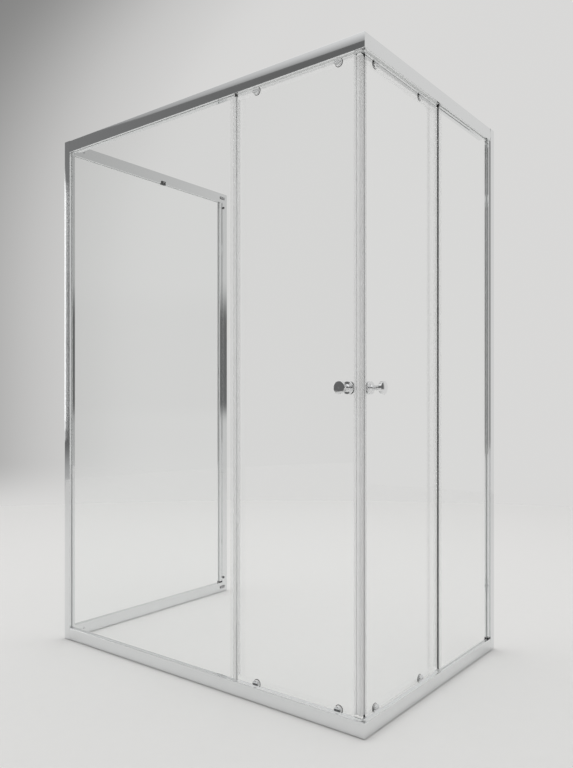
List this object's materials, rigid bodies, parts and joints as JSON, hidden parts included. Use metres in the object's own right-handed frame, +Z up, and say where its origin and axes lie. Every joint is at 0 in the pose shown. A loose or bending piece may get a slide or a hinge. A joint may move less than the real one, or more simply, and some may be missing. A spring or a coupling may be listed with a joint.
{
  "type": "shower enclosure",
  "caption": "Corner shower enclosure with bright metal rails, a return panel, clear fixed glass and sliding glass doors on rollers that meet at the near corner.",
  "frame": {"origin": "middle of the outline's footprint, on the tray", "axes": "+Z up, +Y towards the wall, +X from the return panel towards the near corner"},
  "size_m": [1.3714, 0.9214, 1.9],
  "materials": {
    "bright_profile": "bright polished",
    "cast_aluminium": "cast",
    "clear_glass": "clear, polished edges",
    "clear_seal": "clear soft plastic",
    "magnet": "bonded magnet strip",
    "black_plastic": "moulded",
    "grey_gasket": "extruded strip",
    "setting_block": "moulded",
    "stop_rubber": "moulded",
    "steel": "stainless",
    "chrome_fitting": "mirror",
    "nylon": "turned nylon"
  },
  "bodies": {
    "frame": {"front_top_rail": "bright_profile", "front_bottom_rail": "bright_profile", "side_top_rail": "bright_profile", "side_bottom_rail": "bright_profile", "return_top_rail": "bright_profile", "return_bottom_rail": "bright_profile", "corner_post": "bright_profile", "side_wall_channel": "bright_profile", "side_wall_stile": "bright_profile", "return_wall_channel": "bright_profile", "return_wall_stile": "bright_profile", "profile_caps": "bright_profile", "rail_connectors": "cast_aluminium", "corner_brackets": "cast_aluminium", "front_fixed_glass": "clear_glass", "side_fixed_glass": "clear_glass", "return_glass": "clear_glass", "front_edge_seal": "clear_seal", "side_edge_seal": "clear_seal", "edge_seal_plugs": "black_plastic", "adjuster_covers": "black_plastic", "return_joint_plates": "black_plastic", "return_rail_clip": "black_plastic", "glazing_gaskets": "grey_gasket", "groove_infills": "grey_gasket", "glass_setting_blocks": "setting_block", "door_stops": "stop_rubber", "frame_screws": "steel", "stile_adjusting_screws": "steel"},
    "front_door": {"front_door_glass": "clear_glass", "front_door_magnet_seal": "clear_seal", "front_door_overlap_seal": "clear_seal", "front_door_knob_washers": "clear_seal", "front_door_magnet_strip": "magnet", "front_door_knob_bolt": "steel", "front_door_roller_brackets": "steel", "front_door_roller_axles": "steel", "front_door_knob": "chrome_fitting", "front_door_knob_back": "chrome_fitting", "front_door_roller_caps": "chrome_fitting"},
    "side_door": {"side_door_glass": "clear_glass", "side_door_magnet_seal": "clear_seal", "side_door_overlap_seal": "clear_seal", "side_door_knob_washers": "clear_seal", "side_door_magnet_strip": "magnet", "side_door_knob_bolt": "steel", "side_door_roller_brackets": "steel", "side_door_roller_axles": "steel", "side_door_knob": "chrome_fitting", "side_door_knob_back": "chrome_fitting", "side_door_roller_caps": "chrome_fitting"},
    "front_top_near_wheel": {"front_top_near_wheel": "nylon"},
    "front_top_far_wheel": {"front_top_far_wheel": "nylon"},
    "front_bottom_near_wheel": {"front_bottom_near_wheel": "nylon"},
    "front_bottom_far_wheel": {"front_bottom_far_wheel": "nylon"},
    "side_top_near_wheel": {"side_top_near_wheel": "nylon"},
    "side_top_far_wheel": {"side_top_far_wheel": "nylon"},
    "side_bottom_near_wheel": {"side_bottom_near_wheel": "nylon"},
    "side_bottom_far_wheel": {"side_bottom_far_wheel": "nylon"}
  },
  "joints": [
    {"name": "front_door_slide", "type": "slide", "parent": "frame", "child": "front_door", "axis": [-1, 0, 0], "range_m": [0, 0.36]},
    {"name": "side_door_slide", "type": "slide", "parent": "frame", "child": "side_door", "axis": [0, 1, 0], "range_m": [0, 0.36]},
    {"name": "front_top_near_wheel_spin", "type": "hinge", "parent": "front_door", "child": "front_top_near_wheel", "pos_m": [0.5597, -0.4, 1.87905], "axis": [0, -1, 0], "range_deg": [0, 2300]},
    {"name": "front_top_far_wheel_spin", "type": "hinge", "parent": "front_door", "child": "front_top_far_wheel", "pos_m": [0.2597, -0.4, 1.87905], "axis": [0, -1, 0], "range_deg": [0, 2300]},
    {"name": "front_bottom_near_wheel_spin", "type": "hinge", "parent": "front_door", "child": "front_bottom_near_wheel", "pos_m": [0.5597, -0.4, 0.02105], "axis": [0, -1, 0], "range_deg": [0, 2300]},
    {"name": "front_bottom_far_wheel_spin", "type": "hinge", "parent": "front_door", "child": "front_bottom_far_wheel", "pos_m": [0.2597, -0.4, 0.02105], "axis": [0, -1, 0], "range_deg": [0, 2300]},
    {"name": "side_top_near_wheel_spin", "type": "hinge", "parent": "side_door", "child": "side_top_near_wheel", "pos_m": [0.625, -0.3347, 1.87905], "axis": [-1, 0, 0], "range_deg": [0, 2300]},
    {"name": "side_top_far_wheel_spin", "type": "hinge", "parent": "side_door", "child": "side_top_far_wheel", "pos_m": [0.625, -0.0647, 1.87905], "axis": [-1, 0, 0], "range_deg": [0, 2300]},
    {"name": "side_bottom_near_wheel_spin", "type": "hinge", "parent": "side_door", "child": "side_bottom_near_wheel", "pos_m": [0.625, -0.3347, 0.02105], "axis": [-1, 0, 0], "range_deg": [0, 2300]},
    {"name": "side_bottom_far_wheel_spin", "type": "hinge", "parent": "side_door", "child": "side_bottom_far_wheel", "pos_m": [0.625, -0.0647, 0.02105], "axis": [-1, 0, 0], "range_deg": [0, 2300]}
  ],
  "couplings": [
    {"joint": "front_top_near_wheel_spin", "follows": "front_door_slide", "rad_per_m": 107.53},
    {"joint": "front_top_far_wheel_spin", "follows": "front_door_slide", "rad_per_m": 107.53},
    {"joint": "front_bottom_near_wheel_spin", "follows": "front_door_slide", "rad_per_m": 107.53},
    {"joint": "front_bottom_far_wheel_spin", "follows": "front_door_slide", "rad_per_m": 107.53},
    {"joint": "side_top_near_wheel_spin", "follows": "side_door_slide", "rad_per_m": 107.53},
    {"joint": "side_top_far_wheel_spin", "follows": "side_door_slide", "rad_per_m": 107.53},
    {"joint": "side_bottom_near_wheel_spin", "follows": "side_door_slide", "rad_per_m": 107.53},
    {"joint": "side_bottom_far_wheel_spin", "follows": "side_door_slide", "rad_per_m": 107.53}
  ]
}
